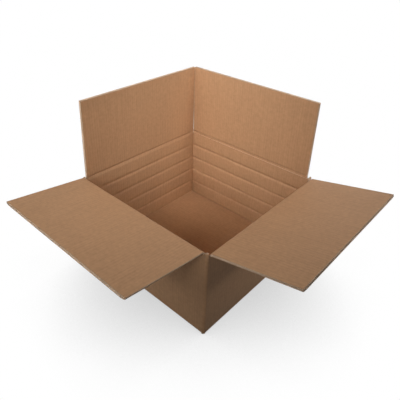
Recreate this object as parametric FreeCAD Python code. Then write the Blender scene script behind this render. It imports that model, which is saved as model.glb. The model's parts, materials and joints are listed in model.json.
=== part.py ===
import FreeCAD, Part
import math
import os

# Open cardboard box: one folded carton with four top flaps.
# Millimetres and degrees. X runs left to right, Y front to back, Z up.
# The origin is the middle of the footprint, on the surface that the box stands on.

# Carton
inner_length = 457.0
inner_width = 452.0
inner_depth = 245.0
board = 7.0
fold_radius = 7.0
fold_facets = 3

# Bottom flaps
outer_bottom_gap = 0.4
inner_bottom_gap = 0.8
bottom_end_clearance = 0.5
corner_foot = 1.5

# Creases pressed across the inner faces of the walls, for cutting the box down
crease_pitch = 50.0
crease_width = 10.0
crease_depth = 1.5
lowest_crease = 20.0

# Top flaps and their folds: the outer skin bends, and the relief lets a flap hang outside.
# The corners stand a little higher than the inner flaps' folds.
hinge_skin = 0.6
hinge_gap = 0.25
hinge_relief = 8.8
layer_clearance = 0.2
outer_flap_gap = 10.4
inner_flap_gap = 1.0
slot_clearance = 1.1
corner_rise = 7.0

# How far each flap stands from upright as the box is found
lean_angle = 1.2
front_flap_angle = 83.2
right_flap_angle = 77.4

# Faces of the walls and levels of the floor and folds
half_length = inner_length / 2.0
half_width = inner_width / 2.0
floor_level = 2.0 * board
ring_level = floor_level + fold_radius
hinge_reach = board - hinge_skin
inner_crease_level = floor_level + inner_depth
outer_crease_level = inner_crease_level + board + layer_clearance

# The inner pair hangs on the left and right walls, the outer pair on the front and back walls
inner_flap_length = half_length + hinge_reach - inner_flap_gap / 2.0
outer_flap_length = half_width + hinge_reach - outer_flap_gap / 2.0
corner_top_level = inner_crease_level + corner_rise

# Both edges of a fold are cut back at 45 degrees inside, so that the flap can lie shut
shoulder_drop = hinge_reach + hinge_gap
panel_level = inner_crease_level - max(shoulder_drop, hinge_relief) - board


def point(x, y, z):
    """Return a vector."""
    return FreeCAD.Vector(x, y, z)


def outline_face(points):
    """Return the flat face inside a closed run of points."""
    return Part.Face(Part.makePolygon(points + [points[0]]))


def centred_block(span_x, span_y, z_low, z_high):
    """Return a block centred on the Z axis that stands proud of two levels, for cutting."""
    corner = point(-span_x, -span_y, z_low - board)
    return Part.makeBox(2.0 * span_x, 2.0 * span_y, z_high - z_low + 2.0 * board, corner)


def join(shapes):
    """Return one clean solid made of touching shapes."""
    joined = shapes[0].multiFuse(shapes[1:]).removeSplitter()
    if joined.ShapeType == "Solid":
        return joined
    return joined.Solids[0]


def quarter_arc(centre_a, centre_b, start_degrees):
    """Return the points of a fold's outer quarter turn, in two coordinates."""
    points = []
    for step in range(fold_facets + 1):
        angle = math.radians(start_degrees + 90.0 * step / fold_facets)
        a = centre_a + fold_radius * math.cos(angle)
        b = centre_b + fold_radius * math.sin(angle)
        points.append((a, b))
    return points


def carton_outline(level):
    """Return the outer outline of the walls, with its four vertical folds rounded."""
    reach_x = half_length + board - fold_radius
    reach_y = half_width + board - fold_radius
    corners = quarter_arc(reach_x, reach_y, 0.0)
    corners += quarter_arc(-reach_x, reach_y, 90.0)
    corners += quarter_arc(-reach_x, -reach_y, 180.0)
    corners += quarter_arc(reach_x, -reach_y, 270.0)
    return outline_face([point(x, y, level) for x, y in corners])


def wall_ring(z_low, z_high):
    """Return the four walls as a ring between two levels."""
    outer = carton_outline(z_low).extrude(point(0, 0, z_high - z_low))
    return outer.cut(centred_block(half_length, half_width, z_low, z_high))


def corner_posts(z_low, z_high, inset):
    """Return the four corners of the ring, reaching past the inner faces by the inset."""
    along_width = centred_block(half_length - inset, inner_width, z_low, z_high)
    along_length = centred_block(inner_length, half_width - inset, z_low, z_high)
    return wall_ring(z_low, z_high).cut(along_width).cut(along_length)


def bottom_profile(inner_face, fold_level, meet_gap):
    """Return the foot of a wall and its bottom flap as (outward, up) points."""
    centre = inner_face + board - fold_radius
    turn = quarter_arc(centre, fold_level + fold_radius, 270.0)
    start = [(meet_gap / 2.0, fold_level + board), (meet_gap / 2.0, fold_level)]
    end = [(inner_face + board, ring_level), (inner_face, ring_level), (inner_face, fold_level + board)]
    return start + turn + end


def wall_top_profile(inner_face, crease_level):
    """Return the top of a wall under its flap, as (outward, up) points."""
    axis = inner_face + hinge_reach
    return [
        (inner_face, panel_level),
        (inner_face + board, panel_level),
        (inner_face + board, crease_level - hinge_relief),
        (axis, crease_level - hinge_gap),
        (inner_face, crease_level - shoulder_drop),
    ]


def run_along_width(profile, side, half_span):
    """Return a profile of (outward, up) points run along Y on the left (-1) or right (1) side."""
    face = outline_face([point(side * out, -half_span, up) for out, up in profile])
    return face.extrude(point(0, 2.0 * half_span, 0))


def run_along_length(profile, side, half_span):
    """Return a profile of (outward, up) points run along X on the front (-1) or back (1) side."""
    face = outline_face([point(-half_span, side * out, up) for out, up in profile])
    return face.extrude(point(2.0 * half_span, 0, 0))


def crease_ring(level):
    """Return the cutter for one shallow V crease that runs round all four inner faces."""
    corners = ((1, 1), (-1, 1), (-1, -1), (1, -1))
    rims = []
    for rise, spread in ((-crease_width / 2.0, 0.0), (0.0, crease_depth), (crease_width / 2.0, 0.0)):
        x = half_length + spread
        y = half_width + spread
        rims.append([point(side_x * x, side_y * y, level + rise) for side_x, side_y in corners])
    faces = [outline_face(rims[0]), outline_face(rims[2])]
    for lower, upper in zip(rims, rims[1:]):
        for here in range(4):
            after = (here + 1) % 4
            faces.append(outline_face([lower[here], lower[after], upper[after], upper[here]]))
    return Part.makeSolid(Part.makeShell(faces))


def crease_levels():
    """Return the levels of the cut-down creases, counted down from the inner flaps' fold."""
    levels = []
    level = inner_crease_level - crease_pitch
    while level > floor_level + lowest_crease:
        levels.append(level)
        level -= crease_pitch
    return levels


def make_carton():
    """Return the folded walls and bottom flaps as one solid."""
    pieces = [
        wall_ring(ring_level, panel_level),
        corner_posts(corner_foot, ring_level, bottom_end_clearance),
        corner_posts(panel_level, corner_top_level, 0.0),
    ]
    for side in (-1, 1):
        inner_bottom = bottom_profile(half_length, board, inner_bottom_gap)
        outer_bottom = bottom_profile(half_width, 0.0, outer_bottom_gap)
        inner_top = wall_top_profile(half_length, inner_crease_level)
        outer_top = wall_top_profile(half_width, outer_crease_level)
        pieces.append(run_along_width(inner_bottom, side, half_width - bottom_end_clearance))
        pieces.append(run_along_length(outer_bottom, side, half_length - bottom_end_clearance))
        pieces.append(run_along_width(inner_top, side, half_width))
        pieces.append(run_along_length(outer_top, side, half_length))
    carton = join(pieces)
    for level in crease_levels():
        carton = carton.cut(crease_ring(level))
    return join([carton])


def flap_profile(inner_face, crease_level, length):
    """Return an upright flap as (outward, up) points, wedge edge first."""
    axis = inner_face + hinge_reach
    return [
        (axis, crease_level + hinge_gap),
        (inner_face + board, crease_level + hinge_relief),
        (inner_face + board, crease_level + length),
        (inner_face, crease_level + length),
        (inner_face, crease_level + shoulder_drop),
    ]


def flap_outline(half_span, crease_level, length):
    """Return a flap's front view as (across, up) points, narrowed so that leaning flaps clear."""
    narrowed = half_span - length * math.sin(math.radians(lean_angle))
    top = crease_level + length
    return [(-half_span, crease_level), (half_span, crease_level), (narrowed, top), (-narrowed, top)]


def make_side_flap(side, open_degrees):
    """Return an inner flap, on the left (-1) or right (1) wall, folded outward from upright."""
    profile = flap_profile(half_length, inner_crease_level, inner_flap_length)
    half_span = half_width - slot_clearance
    outline = flap_outline(half_span, inner_crease_level, inner_flap_length)
    front = outline_face([point(0, across, up) for across, up in outline])
    flap = run_along_width(profile, side, half_span).common(front.extrude(point(side * inner_length, 0, 0)))
    axis_point = point(side * (half_length + hinge_reach), 0, inner_crease_level)
    flap.rotate(axis_point, point(0, side, 0), open_degrees)
    return flap


def make_end_flap(side, open_degrees):
    """Return an outer flap, on the front (-1) or back (1) wall, folded outward from upright."""
    profile = flap_profile(half_width, outer_crease_level, outer_flap_length)
    half_span = half_length - slot_clearance
    outline = flap_outline(half_span, outer_crease_level, outer_flap_length)
    front = outline_face([point(across, 0, up) for across, up in outline])
    flap = run_along_length(profile, side, half_span).common(front.extrude(point(0, side * inner_width, 0)))
    axis_point = point(0, side * (half_width + hinge_reach), outer_crease_level)
    flap.rotate(axis_point, point(-side, 0, 0), open_degrees)
    return flap


nodes = {
    "carton": make_carton(),
    "front_flap": make_end_flap(-1, front_flap_angle),
    "back_flap": make_end_flap(1, -lean_angle),
    "left_flap": make_side_flap(-1, -lean_angle),
    "right_flap": make_side_flap(1, right_flap_angle),
}

os.makedirs("parts", exist_ok=True)
for name, shape in nodes.items():
    shape.exportStep("parts/" + name + ".step")
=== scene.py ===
import json
import math
import bpy
import numpy as np
from mathutils import Matrix, Vector


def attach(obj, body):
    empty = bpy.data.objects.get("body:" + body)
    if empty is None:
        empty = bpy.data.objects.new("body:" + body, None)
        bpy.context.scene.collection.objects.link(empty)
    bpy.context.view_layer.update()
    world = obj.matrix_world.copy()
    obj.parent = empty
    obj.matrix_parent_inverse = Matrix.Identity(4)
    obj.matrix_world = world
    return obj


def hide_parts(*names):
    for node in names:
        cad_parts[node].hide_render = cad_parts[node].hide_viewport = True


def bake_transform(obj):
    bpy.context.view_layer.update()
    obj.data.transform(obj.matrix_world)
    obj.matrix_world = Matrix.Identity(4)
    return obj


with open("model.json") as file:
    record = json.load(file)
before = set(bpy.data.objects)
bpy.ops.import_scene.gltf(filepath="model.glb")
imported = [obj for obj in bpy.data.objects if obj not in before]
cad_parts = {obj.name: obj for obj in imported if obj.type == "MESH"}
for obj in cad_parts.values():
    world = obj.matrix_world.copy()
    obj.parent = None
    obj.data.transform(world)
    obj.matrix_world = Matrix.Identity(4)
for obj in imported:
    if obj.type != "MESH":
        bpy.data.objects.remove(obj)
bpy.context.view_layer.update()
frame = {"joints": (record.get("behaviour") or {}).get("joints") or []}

# Lengths are in metres and angles in degrees. X runs left to right, Y front to back, Z up.
MM = 0.001

# Double-wall board, from the outer face (0) to the inner face (BOARD)
BOARD = 7.0 * MM
OUTER_LINER = 0.40 * MM
MIDDLE_LINER = 0.30 * MM
INNER_LINER = 0.40 * MM
SMALL_FLUTE_HEIGHT = 2.4 * MM
SMALL_FLUTE_PITCH = 6.4 * MM
LARGE_FLUTE_PITCH = 7.9 * MM
LARGE_FLUTE_PHASE = 0.3
FLUTE_PAPER = 0.32 * MM
FLUTE_STEPS = 10
# How far behind the cut edge the flutes end, and the crushed paper between them
FLUTE_RECESS = 0.15 * MM
CRUSHED_RECESS = 0.55 * MM

# The board's layers as (low, high), counted from the outer face; the fluted ones with their pitch
SMALL_LOW = OUTER_LINER
SMALL_HIGH = SMALL_LOW + SMALL_FLUTE_HEIGHT
LARGE_LOW = SMALL_HIGH + MIDDLE_LINER
LARGE_HIGH = BOARD - INNER_LINER
LINERS = ((0.0, SMALL_LOW), (SMALL_HIGH, LARGE_LOW), (LARGE_HIGH, BOARD))
FLUTINGS = (
    (SMALL_LOW, SMALL_HIGH, SMALL_FLUTE_PITCH),
    (LARGE_LOW, LARGE_HIGH, LARGE_FLUTE_PITCH),
)

# Folds of the top flaps
SKIN = 0.6 * MM
HINGE_GAP = 0.6 * MM
SHOULDER = BOARD - SKIN + HINGE_GAP
BLEND_MARGIN = 0.02 * MM
FOLD_STATIONS = 49
GROOVE_POINTS = 25
SKIN_POINTS = 13
GROOVE_SHAPE = 1.15
UNEVEN_PRESS = 0.25 * MM
UNEVEN_LEVEL = 0.3 * MM
UNEVEN_STRETCH = 1.7
HALVINGS = 30

# Slow unevenness: its wavelengths in metres, about what its waves add up to at most, and the
# seeds that set one unevenness apart from another
WOBBLE_WAVES = (0.31, 0.13, 0.057)
WOBBLE_PEAK = 1.8
LEVEL_SEED, WANDER_SEED, STRENGTH_SEED = 4.0, 2.0, 7.0

# Top flaps
CORNER_RISE = 7.0 * MM
INNER_FLAP_LENGTH = 234.4 * MM
OUTER_FLAP_LENGTH = 227.2 * MM
FLUTE_PHASE_STEP = 0.17
LEAN_ANGLE = 1.2
REST_ANGLES = {"front": 83.2, "back": -LEAN_ANGLE, "left": -LEAN_ANGLE, "right": 77.4}

# Places of each flap's two side edges along its fold: at the fold, at the tip, and how much
# the edge bows, in millimetres from the flap's middle
FLAP_EDGES = {
    "front": ((-221.0, -222.6, 0.0), (228.1, 227.0, 0.7)),
    "back": ((-221.0, -221.4, 0.0), (227.9, 223.6, 0.3)),
    "left": ((-225.4, -221.2, -0.3), (221.9, 217.5, 0.0)),
    "right": ((-225.4, -225.5, 0.0), (224.8, 224.2, 0.0)),
}
# How much of its thickness a flap's board has lost at its side edges, and how far in that reaches
CRUSHED_SHARE = {"front": 0.5, "back": 0.0, "left": 0.0, "right": 0.25}
CRUSHED_SPAN = 14.0 * MM
# Press line across each fold: its depth, and how far up from the fold its middle lies, in mm
FOLD_PRESS = {"front": (6.0, 0.0), "back": (3.2, -1.8), "left": (2.6, 3.0), "right": (5.6, 0.0)}

# Walls and their cut-down creases
INSIDE_CORNER = 0.25 * MM
CORNER_GROOVE = 0.45 * MM
CORNER_SPAN = 0.8 * MM
NEAR_CORNER = (CORNER_SPAN, 5.0 * CORNER_SPAN)
CORNER_STEPS = 9
WALL_STEPS = 34
CREASE_PITCH = 50.0 * MM
CREASE_COUNT = 4
CREASE_WIDTH = 15.0 * MM
CREASE_SHIFT = 1.5 * MM
CREASE_SHAPE = 1.3
CREASE_WANDER = 0.45 * MM
CREASE_VARIATION = 0.18
SIDE_CREASE_DEPTH = 1.7 * MM
END_CREASE_DEPTH = 2.9 * MM
BAND_BULGE = 0.45 * MM
BULGE_FADE = 30.0 * MM
LEFT_IN_CORNER = 0.3
OUTER_LEVELS = 25
POST_STATIONS = 25
# Where the inner faces have points: above the floor and below the top, in millimetres, and round
# each crease, in widths of the crease
FLOOR_RISES = (-0.5, 2.0, 12.0, 22.0)
TOP_DROPS = (8.0, 3.0, 0.0)
CREASE_STEPS = (*np.linspace(-0.6, 0.6, 17), 0.9, 1.5, 2.1)

# Bottom flaps: the inner pair's folds hang down by the sag, and every fold laps its wall by the lap
FOLD_RADIUS = 7.0 * MM
FOLD_SAG = -5.8 * MM
FLOOR_LEVEL = 2.0 * BOARD
CORNER_FOOT = 1.5 * MM
OUTER_END_CLEARANCE = 0.5 * MM
INNER_END_CLEARANCE = 1.2 * MM
SEAM = 0.2 * MM
FOLD_LAP = 0.01 * MM
BOTTOM_PHASE = 0.1
BOTTOM_STATIONS = 33
QUARTER_TURN = np.radians(np.linspace(0.0, -90.0, 9))
HALF_TURN = np.radians(np.linspace(0.0, -180.0, 13))

hinges = {joint["child"]: joint for joint in frame["joints"]}
INNER_CREASE = hinges["left_flap"]["pos_m"][2]
OUTER_CREASE = hinges["front_flap"]["pos_m"][2]
HALF_LENGTH = -hinges["left_flap"]["pos_m"][0] - (BOARD - SKIN)
HALF_WIDTH = -hinges["front_flap"]["pos_m"][1] - (BOARD - SKIN)
WALL_TOP = INNER_CREASE - SHOULDER

# Each wall: directions out of the box and along the wall, distance of its inner face, crease level
SIDES = {
    "front": ((0, -1, 0), (1, 0, 0), HALF_WIDTH, OUTER_CREASE),
    "back": ((0, 1, 0), (-1, 0, 0), HALF_WIDTH, OUTER_CREASE),
    "left": ((-1, 0, 0), (0, -1, 0), HALF_LENGTH, INNER_CREASE),
    "right": ((1, 0, 0), (0, 1, 0), HALF_LENGTH, INNER_CREASE),
}
OUTER_SIDES = ("front", "back")
CORNERS = ((1, -1), (1, 1), (-1, 1), (-1, -1))
UP = np.array((0.0, 0.0, 1.0))

# Where a panel has points across it, from edge (-1) to edge (1), closer together near the edges,
# and how many it has along it
SHARES = np.sin(np.linspace(-math.pi / 2.0, math.pi / 2.0, 37))
ROWS = 13
FACE, CUT = 0, 1

# Paper: matt, with patterns whose scales are per metre, along three directions
PAPER_ROUGHNESS = 0.65
PAPER_SPECULAR = 0.28
LINER_COLOURS = ((0.372, 0.205, 0.104, 1.0), (0.528, 0.298, 0.156, 1.0))
CUT_COLOURS = ((0.52, 0.37, 0.25, 1.0), (0.68, 0.50, 0.36, 1.0))
# Painted shade: a darker, greyer band along the liner's cut edges; its colour, and its share from
# the edge to 2.5 mm in
EDGE_SHADE_COLOUR = (0.36, 0.27, 0.19, 1.0)
EDGE_SHADE_RANGE = {"From Min": 0.0, "From Max": 2.5 * MM, "To Min": 0.7, "To Max": 0.0}
SPECK_TINT = (0.45, 0.42, 0.4, 1.0)
SPECK_RANGE = {"From Min": 0.70, "From Max": 0.76, "To Min": 0.0, "To Max": 0.35}
CLOUDS = (9.0, 9.0, 9.0)
MOTTLE = (110.0, 110.0, 110.0)
GRIT = (700.0, 700.0, 700.0)
FIBRES = (2200.0, 160.0, 0.0)
STREAKS = (260.0, 7.0, 0.0)
# How much each pattern adds to the tone and to the relief; the ribs show in the liner only, in the
# relief and as painted shade in the tone
CLOUD_TONE, MOTTLE_TONE, FIBRE_TONE, STREAK_TONE = 0.4, 1.1, 0.3, 0.75
MOTTLE_HEIGHT, FIBRE_HEIGHT, STREAK_HEIGHT = 0.05, 0.06, 0.08
LINER_RIB_SHADE, LINER_RIB_HEIGHT = 0.13, 0.065

# Studio: lamps by direction (azimuth, elevation), distance, target, size, spread and power in watts
FAR_CORNER = (-0.23, 0.23, 0.42)
MIDDLE = (0.0, 0.0, 0.25)
LAMPS = (
    ("left_lamp", 270.0, 30.0, 2.2, FAR_CORNER, 0.7, 60.0, 1.64),
    ("left_low_lamp", 291.0, 18.0, 2.2, FAR_CORNER, 0.7, 35.0, 0.79),
    ("left_high_lamp", 291.0, 30.0, 2.2, FAR_CORNER, 0.7, 35.0, 0.92),
    ("right_lamp", 0.0, 30.0, 2.2, FAR_CORNER, 0.7, 38.0, 1.50),
    ("back_lamp", 90.0, 40.0, 3.0, MIDDLE, 2.0, 180.0, 28.5),
    ("far_left_lamp", 225.0, 40.0, 3.0, MIDDLE, 2.0, 180.0, 18.3),
)
WHITE = (1.0, 1.0, 1.0, 1.0)
FLOOR_BOUNCE = (0.1, 0.1, 0.1, 1.0)
FLOOR_SPAN = 12.0
FLOOR_DROP = -0.3 * MM
SHADOW_REACH = 0.4
SHADOW_RANGE = {"From Min": 0.0, "From Max": 0.72, "To Min": 0.40, "To Max": 1.0}
SURROUND_LIGHT = 0.01


class Surface:
    """Gathers patches of quads, each with its own points, places on the paper, and material."""

    def __init__(self):
        self.points, self.papers, self.edges = [], [], []
        self.quads, self.slots, self.smooth = [], [], []
        self.count = 0

    def add(self, points, papers, slot=FACE, smooth=True, flip=False, edges=None):
        """Add a grid of points (rows, columns, 3), with places on the paper and from cut edges."""
        rows, columns = points.shape[:2]
        index = np.arange(rows * columns).reshape(rows, columns) + self.count
        corners = [index[:-1, :-1], index[1:, :-1], index[1:, 1:], index[:-1, 1:]]
        quads = np.stack(corners, axis=-1).reshape(-1, 4)
        if edges is None:
            edges = np.ones((rows * columns, 2))
        self.points.append(points.reshape(-1, 3))
        self.papers.append(papers.reshape(-1, 2))
        self.edges.append(edges.reshape(-1, 2))
        self.quads.append(quads[:, ::-1] if flip else quads)
        self.slots += [slot] * len(quads)
        self.smooth += [smooth] * len(quads)
        self.count += rows * columns

    def make(self, name, body=None):
        """Make the gathered patches into one piece, which rides on a body if one is named."""
        mesh = bpy.data.meshes.new(name)
        quads = np.concatenate(self.quads)
        mesh.from_pydata(np.concatenate(self.points).tolist(), [], quads.tolist())
        mesh.polygons.foreach_set("material_index", self.slots)
        mesh.polygons.foreach_set("use_smooth", self.smooth)
        for layer_name, places in (("Paper", self.papers), ("Edge", self.edges)):
            layer = mesh.uv_layers.new(name=layer_name)
            layer.data.foreach_set("uv", np.concatenate(places)[quads.reshape(-1)].reshape(-1))
        mesh.materials.append(face_material)
        mesh.materials.append(cut_material)
        mesh.update()
        piece = bpy.data.objects.new(name, mesh)
        bpy.context.scene.collection.objects.link(piece)
        if body:
            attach(piece, body)
        return piece


def pairs(first, second):
    """Return places on the paper from two coordinates, each a number or an array."""
    return np.stack(np.broadcast_arrays(first, second), axis=-1)


def turned(side, along, inward, up, degrees):
    """Return points given from a fold's axis, turned outward about it; all may be arrays."""
    out, run, inner_face, crease = SIDES[side]
    angle = np.radians(degrees)
    inward_turned = inward * np.cos(angle) - up * np.sin(angle)
    up_turned = up * np.cos(angle) + inward * np.sin(angle)
    reach = inner_face + BOARD - SKIN - inward_turned
    along, reach, level = np.broadcast_arrays(along, reach, crease + up_turned)
    flat = along[..., None] * np.array(run) + reach[..., None] * np.array(out)
    return flat + level[..., None] * UP


def wobble(where, seed):
    """Return a slow, smooth unevenness between about -1 and 1 along a length in metres."""
    total = 0.0
    for order, wave in enumerate(WOBBLE_WAVES):
        phase = seed * (2.3 + order)
        total = total + np.sin(2.0 * math.pi * where / wave + phase) / (1.0 + order)
    return total / WOBBLE_PEAK


class Sheet:
    """A flat panel of board: its coordinates run across the flutes, through it and along them."""

    def __init__(self, surface, place, mirrored, edges, length, crushed_share=0.0):
        self.surface, self.place, self.mirrored = surface, place, mirrored
        self.edges, self.length = np.array(edges), length
        self.crushed_share = crushed_share
        self.half_width = (self.edges[1, 0] - self.edges[0, 0]) / 2.0

    def patch(self, share, through, along, slot, smooth, flip, trim=0.0):
        """Add one patch; share runs from -1 to 1 between the panel's side edges, less a trim."""
        share, through, along = np.broadcast_arrays(share, through, along)
        reached = along / self.length
        bow = 4.0 * reached * (1.0 - reached)
        low, high = (edge[0] + (edge[1] - edge[0]) * reached + edge[2] * bow for edge in self.edges)
        across = low + trim + (share + 1.0) / 2.0 * (high - low - 2.0 * trim)
        from_edge = np.minimum(across - low, high - across)
        nearness = np.clip(1.0 - from_edge / CRUSHED_SPAN, 0.0, 1.0)
        through = through + (BOARD - through) * self.crushed_share * nearness ** 2
        points = self.place(across, through, along)
        papers = pairs(across, along + through)
        edges = pairs(from_edge, self.length - along)
        self.surface.add(points, papers, slot, smooth, flip != self.mirrored, edges)

    def liner(self, low, high, near, far, trim=0.0):
        """One flat sheet of paper between two depths in the board."""
        share = SHARES[:, None]
        along = np.linspace(near, far - trim, ROWS)[None, :]
        depth = np.array((low, high))
        self.patch(share, low, along, FACE, True, False, trim)
        self.patch(share, high, along, FACE, True, True, trim)
        self.patch(share, depth[None, :], near, CUT, False, True, trim)
        self.patch(share, depth[None, :], far - trim, CUT, False, False, trim)
        self.patch(-1.0, depth[:, None], along, CUT, False, True, trim)
        self.patch(1.0, depth[:, None], along, CUT, False, False, trim)

    def flutes(self, low, high, near, far, pitch, phase):
        """One wavy sheet between two liners, and the crushed paper in its hollows near the rim."""
        steps = int(round(2.0 * self.half_width / pitch)) * FLUTE_STEPS
        share = np.linspace(-1.0, 1.0, steps + 1)[:, None]
        swing = (high - low - FLUTE_PAPER) / 2.0
        wave = np.sin(2.0 * math.pi * (share * self.half_width / pitch + phase))
        middle = (low + high) / 2.0 + swing * wave
        end = far - FLUTE_RECESS
        ends = np.array((near, end))[None, :]
        half = np.array((-FLUTE_PAPER, FLUTE_PAPER))[None, :] / 2.0
        self.patch(share, middle - FLUTE_PAPER / 2.0, ends, CUT, True, False, FLUTE_RECESS)
        self.patch(share, middle + FLUTE_PAPER / 2.0, ends, CUT, True, True, FLUTE_RECESS)
        self.patch(share, middle + half, near, CUT, False, True, FLUTE_RECESS)
        self.patch(share, middle + half, end, CUT, False, False, FLUTE_RECESS)
        depth = np.array((low, high))
        back = far - CRUSHED_RECESS
        along = np.linspace(near, back, ROWS)[None, :]
        share = SHARES[:, None]
        self.patch(share, depth[None, :], back, CUT, False, False, CRUSHED_RECESS)
        self.patch(-1.0, depth[:, None], along, CUT, False, True, CRUSHED_RECESS)
        self.patch(1.0, depth[:, None], along, CUT, False, False, CRUSHED_RECESS)

    def board(self, near, far, phase=0.0):
        """The whole double wall: three liners, and two flutings a little behind the cut edges."""
        for (low, high), trim in zip(LINERS, (0.0, FLUTE_RECESS, 0.0)):
            self.liner(low, high, near, far, trim)
        for (low, high, pitch), shift in zip(FLUTINGS, (0.0, LARGE_FLUTE_PHASE)):
            self.flutes(low, high, near, far, pitch, phase + shift)


def make_flap(side, length, degrees):
    """Make one top flap from its fold's shoulder to its cut edge."""

    def place(across, through, along):
        return turned(side, across, through - SKIN, along, degrees)

    flap = side + "_flap"
    surface = Surface()
    edges = np.array(FLAP_EDGES[side]) * MM
    sheet = Sheet(surface, place, False, edges, length, CRUSHED_SHARE[side])
    sheet.board(SHOULDER, length, FLUTE_PHASE_STEP * len(side))
    piece = surface.make(flap + "_board", flap)
    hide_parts(flap)


def settled_share(inward, up, degrees, half_span):
    """Return how far a point of the fold follows its flap, in agreement with where that puts it."""
    middle = math.radians(degrees / 2.0)
    low, high = 0.0, 1.0
    for _ in range(HALVINGS):
        share = (low + high) / 2.0
        angle = math.radians(share * degrees)
        at_inward = inward * math.cos(angle) - up * math.sin(angle)
        at_up = up * math.cos(angle) + inward * math.sin(angle)
        position = at_up * math.cos(middle) - at_inward * math.sin(middle)
        blend = min(1.0, max(0.0, (position + half_span) / (2.0 * half_span)))
        if blend * blend * (3.0 - 2.0 * blend) > share:
            low = share
        else:
            high = share
    return (low + high) / 2.0


def fold_profile(groove_depth, groove_middle):
    """Return an upright fold's section as (inward, up) points: inner groove, then outer skin."""
    inner = []
    for step in np.linspace(-1.0, 1.0, GROOVE_POINTS):
        away = step - groove_middle
        reach = 1.0 - math.copysign(groove_middle, away)
        groove = groove_depth * max(0.0, 1.0 - abs(away) / reach) ** GROOVE_SHAPE
        inner.append((BOARD - SKIN - groove, step * SHOULDER))
    outer = [(-SKIN, step * SHOULDER) for step in np.linspace(1.0, -1.0, SKIN_POINTS)]
    return inner, outer


def make_fold(side, degrees):
    """Make the pressed fold between a wall and its flap, bent to the flap's rest angle."""
    middle = math.radians(degrees / 2.0)
    half_span = SHOULDER * math.cos(middle) - SKIN * math.sin(abs(middle)) - BLEND_MARGIN
    low, high = (edge[0] * MM for edge in FLAP_EDGES[side])
    stations = np.linspace(low, high, FOLD_STATIONS)
    press_depth, press_middle = FOLD_PRESS[side]
    inner, outer = (
        np.array([(*spot, settled_share(*spot, degrees, half_span) * degrees) for spot in half])
        for half in fold_profile(press_depth * MM, press_middle * MM / SHOULDER)
    )
    surface = Surface()
    seed = float(len(side))
    for rows, unevenness in ((inner, UNEVEN_PRESS), (outer, 0.0)):
        inward, up, turn = (rows[:, [column]] for column in range(3))
        press = 1.0 - np.abs(up) / SHOULDER
        depth = unevenness * press * wobble(stations, seed)[None, :]
        shift = UNEVEN_LEVEL * press * wobble(stations * UNEVEN_STRETCH, seed + LEVEL_SEED)[None, :]
        points = turned(side, stations[None, :], inward + depth, up + shift, turn)
        surface.add(points, pairs(stations[None, :], up + inward), FACE, True, True)
    for end, flip in ((low, True), (high, False)):
        halves = (inner[::2], outer[::-1])
        rims = [turned(side, end, half[:, 0], half[:, 1], half[:, 2]) for half in halves]
        papers = np.stack([half[:, :2] for half in halves])
        surface.add(np.stack(rims), papers, CUT, True, flip)
    piece = surface.make(side + "_fold_board")
    axis = turned(side, 0.0, 0.0, 0.0, 0.0)
    direction = turned(side, 0.0, -math.sin(middle), math.cos(middle), 0.0) - axis
    start, end = axis - direction * half_span, axis + direction * half_span
    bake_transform(piece)


def wall_path():
    """Return stations round the box: centres, headings, distances walked and from a corner."""
    reach = np.array((HALF_LENGTH, HALF_WIDTH)) - INSIDE_CORNER
    centres, headings, from_corner = [], [], []
    for number, corner in enumerate(CORNERS):
        turn = np.radians(-90.0 + 90.0 * number + np.linspace(0.0, 90.0, CORNER_STEPS))
        for angle in turn:
            centres.append(reach * corner)
            headings.append((math.cos(angle), math.sin(angle)))
            from_corner.append(0.0)
        after = reach * CORNERS[(number + 1) % 4]
        length = np.linalg.norm(after - centres[-1])
        near = [span / length for span in NEAR_CORNER]
        far = [1.0 - share for share in reversed(near)]
        for share in near + list(np.linspace(0.0, 1.0, WALL_STEPS)[1:-1]) + far:
            centres.append(reach * corner * (1.0 - share) + after * share)
            headings.append((math.cos(turn[-1]), math.sin(turn[-1])))
            from_corner.append(min(share, 1.0 - share) * length)
    centres.append(centres[0])
    headings.append(headings[0])
    from_corner.append(0.0)
    centres, headings = np.array(centres), np.array(headings)
    middle = centres + headings * (INSIDE_CORNER + BOARD / 2.0)
    steps = np.linalg.norm(np.diff(middle, axis=0), axis=1)
    walked = np.concatenate([[0.0], np.cumsum(steps)])
    return centres, headings, walked, np.array(from_corner)


def wall_points(centres, headings, depth, level):
    """Return points on the walls at a depth outward of the inner face (stations by levels)."""
    depth, level, _ = np.broadcast_arrays(depth, level, headings[:, :1])
    flat = centres[:, None, :] + headings[:, None, :] * (INSIDE_CORNER + depth)[..., None]
    return np.concatenate([flat, level[..., None]], axis=-1)


def crease_levels():
    """Return the levels of the cut-down creases."""
    return [INNER_CREASE - CREASE_PITCH * (number + 1) for number in range(CREASE_COUNT)]


def wall_levels():
    """Return the levels at which the inner face has points, close together in the creases."""
    levels = [FLOOR_LEVEL + rise * MM for rise in FLOOR_RISES]
    for level in reversed(crease_levels()):
        levels += [level + CREASE_SHIFT + CREASE_WIDTH * step for step in CREASE_STEPS]
    levels += [WALL_TOP - drop * MM for drop in TOP_DROPS]
    return np.array(levels)


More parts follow.
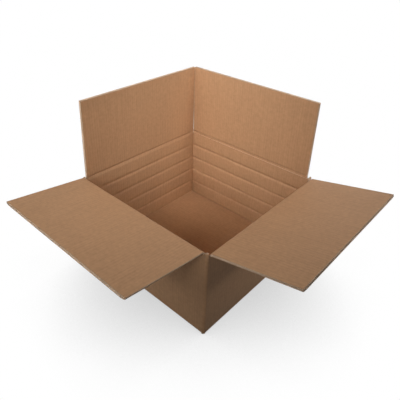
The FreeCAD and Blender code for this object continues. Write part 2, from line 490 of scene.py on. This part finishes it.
def crease_depth(headings, walked, from_corner, levels):
    """Return how deep the inner face is pressed in, for stations by levels."""
    depth = np.zeros((len(walked), len(levels)))
    deepest = SIDE_CREASE_DEPTH + (END_CREASE_DEPTH - SIDE_CREASE_DEPTH) * headings[:, 1:] ** 2
    for number, level in enumerate(crease_levels()):
        drift = CREASE_WANDER * wobble(walked, WANDER_SEED + number)[:, None]
        away = np.abs(levels[None, :] - (level + CREASE_SHIFT + drift)) / (CREASE_WIDTH / 2.0)
        press = np.clip(1.0 - away, 0.0, 1.0) ** CREASE_SHAPE
        strength = 1.0 + CREASE_VARIATION * wobble(walked, STRENGTH_SEED + number)[:, None]
        depth += strength * deepest * press
    place = (INNER_CREASE - levels) / CREASE_PITCH % 1.0
    in_band = (levels > FLOOR_LEVEL) & (levels < WALL_TOP - 0.5 * MM)
    bulge = BAND_BULGE * np.where(in_band, 4.0 * place * (1.0 - place), 0.0)
    bulge_fade = np.clip(from_corner / BULGE_FADE, 0.0, 1.0)[:, None]
    crease_fade = np.clip(from_corner / (2.0 * CORNER_SPAN), LEFT_IN_CORNER, 1.0)[:, None]
    groove = CORNER_GROOVE * np.clip(1.0 - from_corner / CORNER_SPAN, 0.0, 1.0)[:, None]
    return depth * crease_fade + groove - bulge * bulge_fade


def make_walls():
    """Make the four walls as one tube, with pressed creases on the inner faces."""
    centres, headings, walked, from_corner = wall_path()
    inner_levels = wall_levels()
    outer_levels = np.linspace(FLOOR_LEVEL, WALL_TOP, OUTER_LEVELS)
    inner_depth = crease_depth(headings, walked, from_corner, inner_levels)
    surface = Surface()
    faces = ((inner_depth, inner_levels, False), (BOARD, outer_levels, True))
    for depth, levels, flip in faces:
        points = wall_points(centres, headings, depth, levels[None, :])
        surface.add(points, pairs(walked[:, None], levels[None, :]), FACE, True, flip)
    rim_depth = np.array((0.0, BOARD))[None, :]
    for level, flip in ((WALL_TOP, False), (FLOOR_LEVEL, True)):
        rim = wall_points(centres, headings, rim_depth, level)
        surface.add(rim, pairs(walked[:, None], rim_depth), CUT, False, flip)
    piece = surface.make("carton_walls", "carton")
    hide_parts("carton")


def post_path(corner):
    """Return stations round one corner, from the line of one wall's inner face to the other's."""
    side_x, side_y = corner
    centre = np.array((HALF_LENGTH - INSIDE_CORNER, HALF_WIDTH - INSIDE_CORNER)) * corner
    turn = np.linspace(0.0, math.pi / 2.0, POST_STATIONS)
    headings = np.stack([side_x * np.cos(turn), side_y * np.sin(turn)], axis=-1)
    centres = np.broadcast_to(centre, (POST_STATIONS, 2))
    return centres, headings, turn * (INSIDE_CORNER + BOARD / 2.0)


def add_band(surface, path, edges, top, mirrored):
    """Add one sheet of paper that follows a corner, between two depths from the outer face."""
    centres, headings, walked = path
    edges = np.broadcast_to(edges, (len(walked), 2))
    levels = np.array((WALL_TOP, top))[None, :]
    for column, flip in ((0, not mirrored), (1, mirrored)):
        points = wall_points(centres, headings, BOARD - edges[:, column:column + 1], levels)
        surface.add(points, pairs(walked[:, None], levels), FACE, True, flip)
    low, high = (wall_points(centres, headings, BOARD - edges, level) for level in (WALL_TOP, top))
    surface.add(high, pairs(walked[:, None], edges), CUT, False, not mirrored)
    for station, flip in ((0, mirrored), (-1, not mirrored)):
        end = np.stack([low[station], high[station]])
        surface.add(end, np.zeros((2, 2, 2)), CUT, False, flip)


def make_posts():
    """Make the four corners between the slots, with their flutes showing in the cut top."""
    surface = Surface()
    top = INNER_CREASE + CORNER_RISE
    for number, corner in enumerate(CORNERS):
        path = post_path(corner)
        centres, headings, walked = path
        mirrored = corner[0] * corner[1] > 0
        for low, high in LINERS:
            add_band(surface, path, np.array((low, high))[None, :], top, mirrored)
        for low, high, pitch in FLUTINGS:
            swing = (high - low - FLUTE_PAPER) / 2.0
            middle = (low + high) / 2.0 + swing * np.sin(2.0 * math.pi * walked / pitch + number)
            edges = middle[:, None] + np.array((-0.5, 0.5))[None, :] * FLUTE_PAPER
            add_band(surface, path, edges, top - FLUTE_RECESS, mirrored)
            edges = np.array((low, high))[None, :]
            add_band(surface, path, edges, top - CRUSHED_RECESS, mirrored)
        foot = wall_points(centres, headings, BOARD, np.array((CORNER_FOOT, FLOOR_LEVEL))[None, :])
        surface.add(foot, pairs(walked[:, None], foot[..., 2]), FACE, True, not mirrored)
        sole = wall_points(centres, headings, np.array((0.0, BOARD))[None, :], CORNER_FOOT)
        surface.add(sole, sole[..., :2], CUT, False, not mirrored)
    surface.make("carton_corners", "carton")


def straight_edges(half_width):
    """Return the two straight side edges of a panel, as a Sheet takes them."""
    return (-half_width, -half_width, 0.0), (half_width, half_width, 0.0)


def make_upper_panels():
    """Make the strips of the front and back walls that rise to their higher creases."""
    surface = Surface()
    edges = straight_edges(HALF_LENGTH - INSIDE_CORNER)
    for side in OUTER_SIDES:

        def place(across, through, along):
            return turned(side, across, through - SKIN, along, 0.0)

        Sheet(surface, place, False, edges, 1.0).board(WALL_TOP - OUTER_CREASE, -SHOULDER)
    surface.make("carton_upper_panels", "carton")


def bottom_fold(fold_level):
    """Return a bottom fold's section as (outward, up) points from the flap's lower inner corner."""
    profile = [(BOARD, FLOOR_LEVEL + FOLD_LAP - fold_level)]
    if fold_level == 0.0:
        for angle in QUARTER_TURN:
            up = FOLD_RADIUS + FOLD_RADIUS * math.sin(angle)
            profile.append((FOLD_RADIUS * math.cos(angle), up))
        return profile
    half = BOARD / 2.0
    for angle in HALF_TURN:
        profile.append((half + half * math.cos(angle), FOLD_SAG + half + half * math.sin(angle)))
    return profile + [(0.0, 0.0)]


def make_bottom():
    """Make the four bottom flaps and the folds that join them to the walls."""
    surface = Surface()
    for side, (out, run, inner_face, _) in SIDES.items():
        outermost = side in OUTER_SIDES
        fold_level = 0.0 if outermost else BOARD
        if outermost:
            width = HALF_LENGTH - OUTER_END_CLEARANCE
        else:
            width = HALF_WIDTH - INNER_END_CLEARANCE
        out, run = np.array(out), np.array(run)

        def place(across, through, along):
            level = fold_level + through
            flat = across[..., None] * run + (inner_face - along)[..., None] * out
            return flat + level[..., None] * UP

        sheet = Sheet(surface, place, True, straight_edges(width), 1.0)
        sheet.board(0.0, inner_face - SEAM / 2.0, BOTTOM_PHASE)
        reach, level = (np.array(values)[None, :] for values in zip(*bottom_fold(fold_level)))
        across = np.linspace(-width, width, BOTTOM_STATIONS)[:, None]
        across, reach, level = np.broadcast_arrays(across, reach, level)
        points = across[..., None] * run + (inner_face + reach)[..., None] * out
        points = points + (fold_level + level)[..., None] * UP
        surface.add(points, pairs(across, level - reach), FACE, True, True)
        for end, flip in ((0, True), (-1, False)):
            rim = points[end]
            hub = np.broadcast_to(points[end, -1] + UP * FOLD_RADIUS, rim.shape)
            fan = np.stack([rim, hub])
            surface.add(fan, fan[..., :2], CUT, False, flip)
    surface.make("carton_bottom", "carton")


def node(tree, kind, values=None, **settings):
    """Add a shader node; each socket, by name or number, gets a value or a node's output."""
    made = tree.nodes.new(kind)
    for key, value in settings.items():
        setattr(made, key, value)
    for key, value in (values or {}).items():
        if isinstance(value, bpy.types.NodeSocket):
            tree.links.new(value, made.inputs[key])
        else:
            made.inputs[key].default_value = value
    return made


def calculate(tree, operation, *values, **settings):
    """Return the result of a maths node."""
    inputs = dict(enumerate(values))
    return node(tree, "ShaderNodeMath", inputs, operation=operation, **settings).outputs[0]


def mixed(tree, share, first, second):
    """Return a colour between two others."""
    inputs = {0: share, 6: first, 7: second}
    return node(tree, "ShaderNodeMix", inputs, data_type="RGBA").outputs[2]


def scaled_noise(tree, source, scale, detail, roughness=0.6):
    """Return a noise factor, with a scale per metre in each of three directions."""
    stretch = node(tree, "ShaderNodeVectorMath", {0: source, 1: scale}, operation="MULTIPLY")
    inputs = {"Vector": stretch.outputs[0], "Scale": 1.0, "Detail": detail, "Roughness": roughness}
    return node(tree, "ShaderNodeTexNoise", inputs).outputs["Fac"]


def weighted_sum(tree, terms):
    """Return the sum of factors, each less one half and times a weight."""
    total = 0.0
    for factor, weight in terms:
        part = calculate(tree, "MULTIPLY", calculate(tree, "SUBTRACT", factor, 0.5), weight)
        total = calculate(tree, "ADD", total, part)
    return total


def flute_lines(tree, paper, pitch):
    """Return a 0 to 1 wave across the flutes, for the liner's faint ribs: their bump and their
    painted shade.
    """
    split = node(tree, "ShaderNodeSeparateXYZ", {0: paper})
    phase = calculate(tree, "MULTIPLY", split.outputs["X"], 2.0 * math.pi / pitch)
    return calculate(tree, "MULTIPLY_ADD", calculate(tree, "SINE", phase), 0.5, 0.5)


def edge_shade_factor(tree):
    """Return the share of painted shade near a cut edge, from 0 inside to a share at the edge."""
    places = node(tree, "ShaderNodeUVMap", uv_map="Edge").outputs["UV"]
    split = node(tree, "ShaderNodeSeparateXYZ", {0: places})
    nearest = calculate(tree, "MINIMUM", split.outputs["X"], split.outputs["Y"])
    return node(tree, "ShaderNodeMapRange", {"Value": nearest, **EDGE_SHADE_RANGE}).outputs[0]


def kraft_material(name, colours, rib_shade, rib_height, shaded_edges):
    """Return matt brown paper: cloudy, fibres, specks, flute ribs, painted shade on ribs and cut
    edges.
    """
    dark, light = colours
    material = bpy.data.materials.new(name)
    material.use_nodes = True
    tree = material.node_tree
    shader = tree.nodes["Principled BSDF"]
    shader.inputs["Roughness"].default_value = PAPER_ROUGHNESS
    shader.inputs["Specular IOR Level"].default_value = PAPER_SPECULAR
    paper = node(tree, "ShaderNodeUVMap", uv_map="Paper").outputs["UV"]
    solid = node(tree, "ShaderNodeTexCoord").outputs["Object"]
    clouds = scaled_noise(tree, solid, CLOUDS, 3.0)
    mottle = scaled_noise(tree, solid, MOTTLE, 4.0)
    fibres = scaled_noise(tree, paper, FIBRES, 3.0, 0.7)
    streaks = scaled_noise(tree, paper, STREAKS, 3.0)
    ribs = flute_lines(tree, paper, LARGE_FLUTE_PITCH)
    # Painted shade: the flute ribs' relief is also painted into the colour as faint stripes
    weights = (CLOUD_TONE, MOTTLE_TONE, FIBRE_TONE, STREAK_TONE, rib_shade)
    shade = weighted_sum(tree, zip((clouds, mottle, fibres, streaks, ribs), weights))
    tone = calculate(tree, "ADD", shade, 0.5, use_clamp=True)
    colour = mixed(tree, tone, dark, light)
    grit = scaled_noise(tree, solid, GRIT, 2.0)
    speck = node(tree, "ShaderNodeMapRange", {"Value": grit, **SPECK_RANGE}).outputs[0]
    speck_colour = tuple(channel * tint for channel, tint in zip(dark, SPECK_TINT))
    colour = mixed(tree, speck, colour, speck_colour)
    # Painted shade: a darker, greyer band along the liner's cut edges
    if shaded_edges:
        colour = mixed(tree, edge_shade_factor(tree), colour, EDGE_SHADE_COLOUR)
    tree.links.new(colour, shader.inputs["Base Color"])
    weights = (rib_height, MOTTLE_HEIGHT, FIBRE_HEIGHT, STREAK_HEIGHT)
    relief = weighted_sum(tree, zip((ribs, mottle, fibres, streaks), weights))
    bump = node(tree, "ShaderNodeBump", {"Strength": 1.0, "Distance": 1.0 * MM, "Height": relief})
    tree.links.new(bump.outputs[0], shader.inputs["Normal"])
    return material


def make_camera():
    """Put the camera where the photograph was taken from."""
    position = (0.6866, -0.7906, 0.9006)
    heading, dip, roll = 131.6, 30.9, 1.61
    focal_pixels = 425.7
    centre_right, centre_down = -5.2, -25.0
    frame_pixels = 400.0
    camera = bpy.data.cameras.new("photo_camera")
    camera.sensor_width = 36.0
    camera.lens = camera.sensor_width * focal_pixels / frame_pixels
    camera.shift_x = -centre_right / frame_pixels
    camera.shift_y = centre_down / frame_pixels
    camera.clip_start = 0.01
    holder = bpy.data.objects.new("photo_camera", camera)
    bpy.context.scene.collection.objects.link(holder)
    aim = Matrix.Rotation(math.radians(heading - 90.0), 4, "Z")
    aim = aim @ Matrix.Rotation(math.radians(90.0 - dip), 4, "X")
    aim = aim @ Matrix.Rotation(math.radians(roll), 4, "Z")
    holder.matrix_world = Matrix.Translation(position) @ aim
    bpy.context.scene.camera = holder


def finish_shader(tree, output_kind, as_light, as_seen):
    """Use one shader for the light that a surface gives, and another for how it is seen."""
    seen = node(tree, "ShaderNodeLightPath").outputs
    either = calculate(tree, "MAXIMUM", seen["Is Camera Ray"], seen["Is Glossy Ray"])
    directly = calculate(tree, "MAXIMUM", either, seen["Is Transmission Ray"])
    inputs = {0: directly, 1: as_light.outputs[0], 2: as_seen.outputs[0]}
    choice = node(tree, "ShaderNodeMixShader", inputs)
    node(tree, output_kind, {0: choice.outputs[0]})


def make_floor():
    """Make the plain white floor, with a soft shadow where the box keeps light off it."""
    material = bpy.data.materials.new("white_floor")
    material.use_nodes = True
    tree = material.node_tree
    tree.nodes.clear()
    paper = node(tree, "ShaderNodeBsdfDiffuse", {"Color": FLOOR_BOUNCE})
    hidden = node(tree, "ShaderNodeAmbientOcclusion", {"Distance": SHADOW_REACH}, samples=8)
    shade = node(tree, "ShaderNodeMapRange", {"Value": hidden.outputs["AO"], **SHADOW_RANGE})
    white = node(tree, "ShaderNodeEmission", {"Color": WHITE, "Strength": shade.outputs[0]})
    finish_shader(tree, "ShaderNodeOutputMaterial", paper, white)
    mesh = bpy.data.meshes.new("floor")
    square = ((-1, -1), (1, -1), (1, 1), (-1, 1))
    corners = [(x * FLOOR_SPAN, y * FLOOR_SPAN, 0.0) for x, y in square]
    mesh.from_pydata(corners, [], [(0, 1, 2, 3)])
    mesh.materials.append(material)
    floor = bpy.data.objects.new("floor", mesh)
    floor.location.z = FLOOR_DROP
    bpy.context.scene.collection.objects.link(floor)


def make_lamp(name, azimuth, elevation, distance, target, size, spread, power):
    """Add one square soft lamp, aimed at a point from a direction in degrees."""
    light = bpy.data.lights.new(name, "AREA")
    light.size = size
    light.energy = power
    light.spread = math.radians(spread)
    holder = bpy.data.objects.new(name, light)
    bpy.context.scene.collection.objects.link(holder)
    turn, rise = math.radians(azimuth), math.radians(elevation)
    flat = math.cos(rise)
    away = Vector((flat * math.cos(turn), flat * math.sin(turn), math.sin(rise)))
    holder.location = Vector(target) + away * distance
    holder.rotation_euler = away.to_track_quat("Z", "Y").to_euler()
    holder.visible_camera = False


def make_light():
    """Light the box as in a studio, with soft lamps and a faint white surround."""
    world = bpy.data.worlds.new("studio")
    bpy.context.scene.world = world
    world.use_nodes = True
    tree = world.node_tree
    tree.nodes.clear()
    surround = node(tree, "ShaderNodeBackground", {"Color": WHITE, "Strength": SURROUND_LIGHT})
    backdrop = node(tree, "ShaderNodeBackground", {"Color": WHITE, "Strength": 1.0})
    finish_shader(tree, "ShaderNodeOutputWorld", surround, backdrop)
    for lamp in LAMPS:
        make_lamp(*lamp)


face_material = kraft_material("kraft_liner", LINER_COLOURS, LINER_RIB_SHADE, LINER_RIB_HEIGHT, True)
cut_material = kraft_material("kraft_cut_edge", CUT_COLOURS, 0.0, 0.0, False)

make_walls()
make_posts()
make_upper_panels()
make_bottom()
for side, degrees in REST_ANGLES.items():
    make_flap(side, OUTER_FLAP_LENGTH if side in OUTER_SIDES else INNER_FLAP_LENGTH, degrees)
    make_fold(side, degrees)
make_floor()
make_camera()
make_light()
bpy.context.scene.view_settings.view_transform = "Standard"
